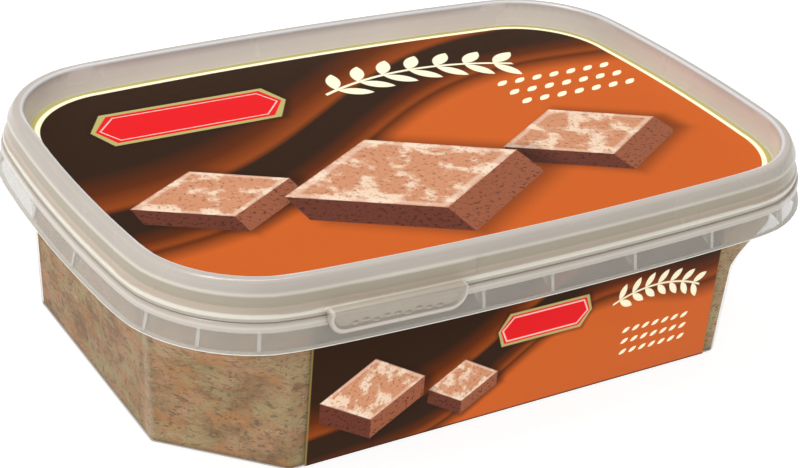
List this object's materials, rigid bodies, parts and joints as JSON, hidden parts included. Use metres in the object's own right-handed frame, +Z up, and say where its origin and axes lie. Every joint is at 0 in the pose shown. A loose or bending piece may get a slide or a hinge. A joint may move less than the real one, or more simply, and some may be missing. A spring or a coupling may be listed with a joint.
{
  "type": "lidded tub of marbled cocoa halva",
  "caption": "Low rectangular food tub with cut-off corners, a press-on lid with a sunk panel and pull tab, a ribbed skirt, plain printed labels and marbled halva inside.",
  "frame": {"origin": "middle of the tub's footprint, on the surface it stands on", "axes": "+X along the long side, -Y towards the side with the pull tab, +Z up"},
  "size_m": [0.1394, 0.098, 0.0384],
  "materials": {
    "tub_plastic": "thin translucent milky polypropylene, softly glossy",
    "lid_plastic": "milky translucent polypropylene, satin gloss",
    "halva": "dense crumbly sesame paste, marbled beige and cocoa brown",
    "print": "printed film in dark brown, russet and orange fields, satin gloss"
  },
  "bodies": {
    "root": {"tub": "tub_plastic", "lid": "lid_plastic", "halva": "halva", "lid_label": "print", "front_label": "print", "back_label": "print"}
  },
  "joints": []
}
